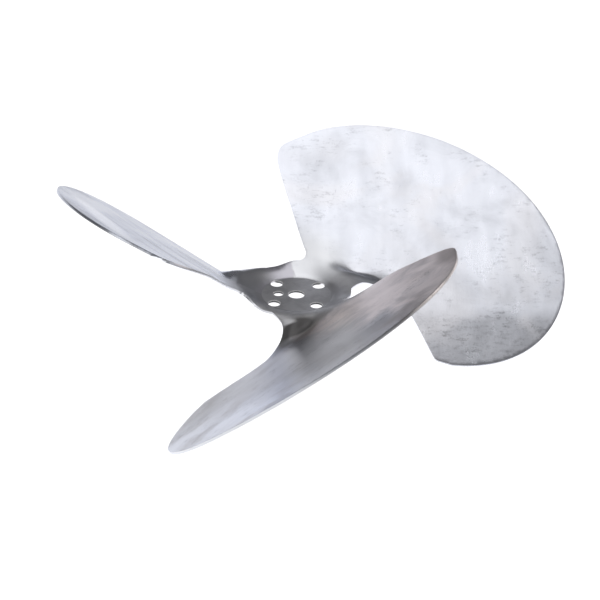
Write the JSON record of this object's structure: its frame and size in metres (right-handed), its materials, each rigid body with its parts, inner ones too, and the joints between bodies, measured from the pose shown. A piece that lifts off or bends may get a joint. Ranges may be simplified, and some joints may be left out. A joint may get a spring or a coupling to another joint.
{
  "type": "boat propeller",
  "caption": "Sheet-metal boat propeller with wide paddle blades welded round a flat bolt-on hub plate that has a centre bore and bolt holes.",
  "frame": {"origin": "on the shaft axis, at the outboard face of the flat hub plate", "axes": "+Z along the shaft axis, out of the outboard hub face; +X and +Y lie in that face, with the first blade's own axis 4.5 degrees from +X towards +Y"},
  "size_m": [0.3846, 0.3673, 0.1257],
  "materials": {
    "hub_metal": "dull satin",
    "blade_metal": "ground and scuffed, with heat tint",
    "seam_metal": "dressed weld"
  },
  "bodies": {
    "root": {"hub_plate": "hub_metal", "hub_seam": "seam_metal", "blade_1": "blade_metal", "blade_2": "blade_metal", "blade_3": "blade_metal", "root_seam_1": "seam_metal", "root_seam_2": "seam_metal", "root_seam_3": "seam_metal"}
  },
  "joints": []
}
